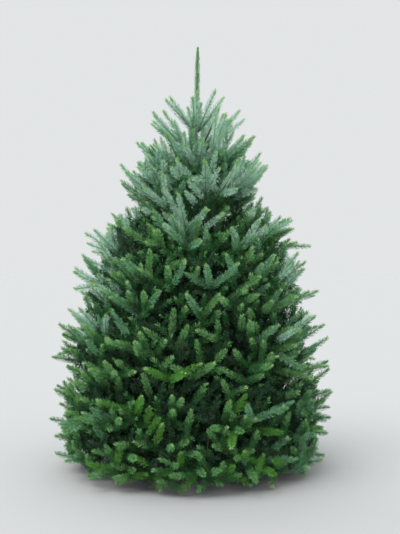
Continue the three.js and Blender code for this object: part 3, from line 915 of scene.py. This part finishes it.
def tint_of(spray, age, layer, key):
    """The name of the tint that a shoot takes from its spray, its age and how deep in the crown it is:
    painted shade low down and deep in, painted sheen high up and at the left and right edges.
    """
    tip = spray["tip"]
    dealt = chance(spray["key"], 21) + DEALT_JITTER * jitter(key, 22)
    edge = abs(tip.x) / max(crown_reach(tip.z), LEAST_REACH)
    height = tip.z / TREE_HEIGHT + HEIGHT_JITTER * jitter(spray["key"], 23)
    # Old growth and the deepest layer: the dark deep tint as painted shade, and mid high up, where less shade
    # is painted.
    if age >= 3 or layer == 2:
        return "mid" if height > INNER_MID_HEIGHT else "deep"
    # Growth of two years and the middle layer: soft high up as painted light, and low down mostly deep as
    # painted shade.
    if age == 2 or layer == 1:
        if height > INNER_LIT_HEIGHT:
            return "soft"
        return pick(dealt, (0.75 if height < LOW_HEIGHT else 0.35, "deep"), (math.inf, "mid"))
    if height < FOOT_HEIGHT and edge < FOOT_EDGE and dealt > 0.68:
        return "low"
    # High up, mostly the pale tint: painted sheen and rim light of the bright sky.
    if height > PAINTED_SHEEN_HEIGHT:
        return "pale_sheen" if dealt > 0.2 else "soft"
    # Above the upper height, and at the left and right edges above the foot: the pale tint as painted sheen
    # and rim light, more of it on the left, where the light comes from.
    if height > UPPER_HEIGHT or (edge > PAINTED_SHEEN_EDGE and height > LOW_HEIGHT):
        return pick(dealt, (0.5 if tip.x < 0 else 0.32, "pale_sheen"), (0.88, "soft"), (math.inf, "fresh"))
    # Lower edges: more of the lighter soft tint, as painted light.
    if edge > PAINTED_LIGHT_EDGE:
        return pick(dealt, (0.4, "soft"), (0.8, "mid"), (math.inf, "fresh"))
    # Elsewhere mostly mid, with more of it low down as painted shade.
    return pick(dealt, (0.7 if height < PAINTED_SHADE_HEIGHT else 0.35, "mid"), (0.5, "soft"), (math.inf, "fresh"))


SHOOT_SPREAD, SHOOT_TWIST = 58, 0.7
FRESH_FROM = (0.62, 0.88)  # from here on a young shoot's needles are brighter, in the two outer layers
TIP_FROM = 0.92  # and from here on brighter still, on some of the outer shoots, of which more are high up
TIP_JITTER = 0.09
BRIGHT_FROM = 900
LEAST_BRIGHT = 0.3

phases = rng.uniform(0, 2 * math.pi, len(grown))
tints = np.array([
    TINT_NAMES.index(tint_of(sprays[int(row[SPRAY])], row[AGE], row[LAYER], i))
    for i, row in enumerate(grown)
])
bright = rng.uniform(0, 1, len(grown)) < np.clip(grown[:, 2] / BRIGHT_FROM, LEAST_BRIGHT, 1)

batches = []
for chosen, kinds, to_tip in ((young, YOUNG_NEEDLES, 1), (~young, OLD_NEEDLES, 0)):
    for layer, kind in enumerate(kinds):
        picked = chosen & ~dead & (grown[:, LAYER] == layer)
        corners, owner, along = grow_needles(
            grown[picked], phases[picked], kind, SHOOT_SPREAD, SHOOT_TWIST, to_tip
        )
        tint = tints[picked][owner]
        if to_tip and layer < 2:
            place = along + rng.uniform(-TIP_JITTER, TIP_JITTER, len(along))
            tint = np.where((place > FRESH_FROM[layer]) & (tint == MID), FRESH, tint)
            tint = np.where((place > TIP_FROM) & (layer == 0) & bright[picked][owner], TIP, tint)
        batches.append((corners, tint))

# The trunk's own needles: on the leader, and sparser ones on the years below it
LEADER_NEEDLES = (2.6, 23, 2.8)
LEADER_SPREAD = 50
LEADER_BARE = 45
LEADER_BUD = 8
STEM_NEEDLES = (1.0, 20, 2.6)
STEM_SPREAD = 60
STEM_NEEDLED = 420
TRUNK_TWIST = 0.6


def trunk_stretch(low, high, top_radius):
    """A straight stretch of the trunk as a segment, as far as the needles need it."""
    start = axis_at(low)
    heading = (axis_at(high) - start).normalized()
    return np.array([[*start, *heading, 0, 0, 0, high - low, trunk_radius(low), top_radius]])


leader = trunk_stretch(LEADER_FOOT + LEADER_BARE, TREE_HEIGHT - LEADER_BUD, TIP_RADIUS)
corners, _, _ = grow_needles(leader, np.zeros(1), LEADER_NEEDLES, LEADER_SPREAD, TRUNK_TWIST, 1)
# About a third of the leader's needles take the pale tint, as painted sheen at the top.
batches.append((corners, np.choose(rng.integers(0, 3, len(corners)), [LOW, LOW, PALE_SHEEN])))
stem = trunk_stretch(LEADER_FOOT - STEM_NEEDLED, LEADER_FOOT, LEADER_RADIUS)
corners, _, _ = grow_needles(stem, np.ones(1), STEM_NEEDLES, STEM_SPREAD, TRUNK_TWIST, 0)
# The needles on the trunk below the leader take the deep tint, as painted shade inside the crown.
batches.append((corners, np.full(len(corners), DEEP_SHADE)))

foliage_nodes = [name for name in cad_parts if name.startswith("foliage")]
all_corners = np.concatenate([corners for corners, _ in batches])
all_tints = np.concatenate([tint for _, tint in batches])
for i, name in enumerate(TINT_NAMES):
    dealt = all_corners[all_tints == i]
    parts = math.ceil(len(dealt) / MOST_NEEDLES)
    for part in range(parts):
        points = dealt[part::parts].reshape(-1, 3)
        faces = np.arange(len(points)).reshape(-1, 4)
        piece = new_mesh(f"needles_{name}_{part + 1}", points, faces, needle_materials[name])
        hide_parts(*foliage_nodes, "leader_needles")


# Twigs: a narrow tube for each year's growth


def twig_tubes(rows, sides=3, spans=2):
    rings = []
    for step in range(spans + 1):
        t = step / spans
        radius = rows[:, START_RADIUS, None] * (1 - t) + rows[:, END_RADIUS, None] * t
        rings.append(np.stack(rings_round(*along_segments(rows, t), radius, sides), axis=1))
    points = np.stack(rings, axis=1).reshape(-1, 3)
    first = np.arange(len(rows))[:, None, None] * (spans + 1) * sides
    faces = np.stack(faces_between(spans + 1, sides), 1)
    return points, (first + faces[None]).reshape(-1, 4)


outer = (grown[:, LAYER] == 0) & ~dead
points, faces = twig_tubes(grown[young & outer])
new_mesh("shoot_stems", points, faces, young_bark)
points, faces = twig_tubes(grown[young & ~outer], spans=1)
new_mesh("inner_shoot_stems", points, faces, twig_bark)
points, faces = twig_tubes(grown[~young], sides=4)
new_mesh("twigs", points, faces, twig_bark)

BUD_LENGTH = 7.5
BUD_RADIUS = 2.6
BUD_WIDEST = 0.4
BUD_FACES = [[0, 2, 1], [0, 3, 2], [0, 4, 3], [0, 1, 4], [5, 1, 2], [5, 2, 3], [5, 3, 4], [5, 4, 1]]


def bud_shapes(rows):
    """A pointed bud at the tip of each of the shoots: its foot, a ring of four corners, and its point."""
    tip, heading = along_segments(rows, 1)
    foot = tip - heading
    ring = rings_round(foot + BUD_WIDEST * BUD_LENGTH * heading, heading, BUD_RADIUS, 4)
    points = np.stack([foot, *ring, foot + BUD_LENGTH * heading], axis=1)
    first = np.arange(len(rows))[:, None, None] * points.shape[1]
    return points.reshape(-1, 3), (first + np.array(BUD_FACES)[None]).reshape(-1, 3)


points, faces = bud_shapes(grown[young & outer])
new_mesh("buds", points, faces, bud_scales)


# Limbs and the trunk, with the bark's relief in their meshes

LIMB_SIDES = 9
LIMB_STEP = 20
LIMB_FEWEST = 4  # rings
LIMB_ROOTED = 6  # a limb starts this deep in the trunk
LIMB_SHORT = 120  # and stops this far before its tip, where its own segments go on
LIMB_TIP_RADIUS = 1.6
COLLAR = 0.45  # the collar where the limb leaves the trunk
COLLAR_LENGTH = 16
LIMB_RELIEF = 0.07
LIMB_CELLS_ROUND = 5

TRUNK_SIDES = 48
TRUNK_HEIGHTS = np.concatenate([
    np.linspace(0, 200, 40)[:-1], np.linspace(200, 1500, 150)[:-1], np.linspace(1500, TREE_HEIGHT, 70)
])
BARK_ROUGH_TO = 1500  # the bark gets smoother up to here
BARK_LEAST = 0.15
BARK_RIDGES = 1.6
RIDGE_CELLS = (70, 24)  # up the trunk and round it
RIDGE_SEED = 2
BARK_PLATES = 0.7
PLATE_CELLS = (130, 20)
PLATE_SEED = 1
BARK_FULL_RADIUS = 20
SWELLING = 2.2  # under each whorl
SWELLING_HEIGHT = 22


def smooth_noise(rows, columns, cells_up, cells_round, seed):
    """Noise on a grid that closes on itself from side to side."""
    grid = np.random.default_rng(seed).uniform(-1, 1, (cells_up + 2, cells_round))
    y = np.linspace(0, cells_up, rows)[:, None]
    x = (np.arange(columns) * cells_round / columns)[None, :]
    y0, x0 = np.floor(y).astype(int), np.floor(x).astype(int)
    fy, fx = y - y0, x - x0
    fy, fx = fy * fy * (3 - 2 * fy), fx * fx * (3 - 2 * fx)
    x1 = (x0 + 1) % cells_round
    y1 = np.minimum(y0 + 1, cells_up + 1)
    top = grid[y1, x0] * (1 - fx) + grid[y1, x1] * fx
    low = grid[y0, x0] * (1 - fx) + grid[y0, x1] * fx
    return low * (1 - fy) + top * fy


def closed_tube(skin, ends):
    """The points and faces of a tube of rings of points, closed at each end about a middle point."""
    rings, sides = skin.shape[:2]
    first, last = rings * sides, rings * sides + 1
    a, b, c, d = faces_between(rings, sides)
    around = np.arange(sides)
    after = (around + 1) % sides
    top = (rings - 1) * sides
    faces = [
        np.stack([a, b, c], 1),
        np.stack([a, c, d], 1),
        np.stack([after, around, np.full(sides, first)], 1),
        np.stack([top + around, top + after, np.full(sides, last)], 1),
    ]
    return np.concatenate([skin.reshape(-1, 3), ends]), np.concatenate(faces)


def limb_tube(limb):
    line, bare, thick, radius = limb["line"], limb["bare"], limb["thick"], limb["radius"]
    begin = max(trunk_radius(line.points[0][2]) - LIMB_ROOTED, 0)
    stop = line.length - LIMB_SHORT
    rings = max(int((stop - begin) / LIMB_STEP), LIMB_FEWEST)
    distances = np.linspace(begin, stop, rings)
    points = np.stack([np.interp(distances, line.at, line.points[:, i]) for i in range(3)], axis=1)
    side, over = frames(unit(np.gradient(points, axis=0)))
    places, radii = [0, line.length], [radius, LIMB_TIP_RADIUS]
    if thick:
        places = [0, 0.5 * bare, bare, line.length]
        radii = [thick, lerp(thick, radius, 0.6), radius, LIMB_TIP_RADIUS]
    girth = np.interp(distances, places, radii)
    girth = girth * (1 + COLLAR * np.exp(-(distances - begin) / COLLAR_LENGTH))
    own_seed = int(points[0][0] * 7 + 900)
    relief = 1 + LIMB_RELIEF * smooth_noise(rings, LIMB_SIDES, max(rings // 3, 2), LIMB_CELLS_ROUND, own_seed)
    angles = 2 * np.pi * np.arange(LIMB_SIDES) / LIMB_SIDES
    cosines, sines = np.cos(angles)[None, :, None], np.sin(angles)[None, :, None]
    ring = cosines * side[:, None, :] + sines * over[:, None, :]
    skin = points[:, None, :] + (girth[:, None] * relief)[:, :, None] * ring
    return closed_tube(skin, np.stack([points[0], points[-1]]))


def trunk_mesh():
    angles = 2 * np.pi * np.arange(TRUNK_SIDES) / TRUNK_SIDES
    heights, rows = TRUNK_HEIGHTS, len(TRUNK_HEIGHTS)
    axis = np.array([axis_at(z) for z in heights])
    radius = np.array([trunk_radius(z) for z in heights])[:, None]
    lobes = FLARE + LOBE_DEPTH * np.cos(ROOT_LOBES * angles)
    flare = 1 + np.exp(-heights / FLARE_HEIGHT)[:, None] * lobes[None]
    plates = smooth_noise(rows, TRUNK_SIDES, *PLATE_CELLS, PLATE_SEED)
    ridges = 1 - np.abs(smooth_noise(rows, TRUNK_SIDES, *RIDGE_CELLS, RIDGE_SEED))
    rough = np.clip(1 - heights / BARK_ROUGH_TO, BARK_LEAST, 1)[:, None]
    relief = BARK_RIDGES * rough * (ridges**3 - 0.5) + BARK_PLATES * rough * plates
    for whorl in whorls:
        near = np.exp(-(((heights - whorl["foot"]) / SWELLING_HEIGHT) ** 2))[:, None]
        relief = relief + SWELLING * near * rough
    relief[heights < 1] = 0
    wide = radius * flare + relief * np.clip(radius / BARK_FULL_RADIUS, BARK_LEAST, 1)
    ring = np.stack([np.sin(angles), np.cos(angles), np.zeros(TRUNK_SIDES)], axis=1)
    points, faces = closed_tube(axis[:, None, :] + wide[:, :, None] * ring[None], axis[[0, -1]])
    return points, faces[:, ::-1]


all_points, all_faces, total = [], [], 0
for limb in limbs:
    points, faces = limb_tube(limb)
    all_points.append(points)
    all_faces.append(faces + total)
    total += len(points)
points, faces = np.concatenate(all_points), np.concatenate(all_faces)
boughs = new_mesh("boughs", points, faces, bough_bark, True)
bough_nodes = [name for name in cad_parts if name.startswith("bough")]
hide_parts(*bough_nodes)

points, faces = trunk_mesh()
trunk = new_mesh("trunk_skin", points, faces, trunk_bark, True)
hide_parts("trunk")


# Stage, in metres: a plain floor, an overcast sky and two soft suns

FLOOR_GREY = (0.384, 0.386, 0.387)
FLOOR_RADIUS = 90
SKY_STRENGTH = 0.85
HORIZON = (0.90, 0.92, 0.93)  # what the floor sends back, so that the two meet unseen
SKY = (1.75, 1.80, 1.84)
CAMERA_PLACE = (0.059, -5.0, 1.23)
SENSOR_WIDTH = 36
LENS = 53.9


def make_floor():
    mesh = bpy.data.meshes.new("floor")
    shape = bmesh.new()
    bmesh.ops.create_circle(shape, cap_ends=True, radius=FLOOR_RADIUS, segments=96)
    shape.to_mesh(mesh)
    shape.free()
    floor = bpy.data.objects.new("floor", mesh)
    bpy.context.scene.collection.objects.link(floor)
    mesh.materials.append(principled("floor", FLOOR_GREY, roughness=1.0, specular=0.0))


def make_sky():
    world = bpy.data.worlds.new("sky")
    world.use_nodes = True
    nodes, links = world.node_tree.nodes, world.node_tree.links
    place = nodes.new("ShaderNodeTexCoord")
    parts = nodes.new("ShaderNodeSeparateXYZ")
    ramp = ramp_node(nodes, (0.38, HORIZON), (0.75, SKY))
    links.new(place.outputs["Generated"], parts.inputs["Vector"])
    links.new(parts.outputs["Z"], ramp.inputs["Fac"])
    links.new(ramp.outputs["Color"], nodes["Background"].inputs["Color"])
    nodes["Background"].inputs["Strength"].default_value = SKY_STRENGTH
    bpy.context.scene.world = world


def make_sun(name, towards, strength, breadth, color):
    data = bpy.data.lights.new(name, "SUN")
    data.energy = strength
    data.angle = math.radians(breadth)
    data.color = color
    light = bpy.data.objects.new(name, data)
    light.rotation_euler = Vector(towards).to_track_quat("-Z", "Y").to_euler()
    bpy.context.scene.collection.objects.link(light)


def make_camera():
    """Level, and looking along +Y."""
    data = bpy.data.cameras.new("camera")
    data.sensor_width = SENSOR_WIDTH
    data.lens = LENS
    camera = bpy.data.objects.new("camera", data)
    camera.location = CAMERA_PLACE
    camera.rotation_euler = (math.pi / 2, 0, 0)
    bpy.context.scene.collection.objects.link(camera)
    bpy.context.scene.camera = camera


make_floor()
make_sky()
make_sun("overcast", towards=(0.5, 0.45, -1), strength=1.9, breadth=45, color=(1, 1, 0.98))
make_sun("bright_sky_behind", towards=(0.25, -0.9, -0.8), strength=1.2, breadth=60, color=(0.96, 0.99, 1))
make_camera()
bpy.context.scene.view_settings.view_transform = "Standard"
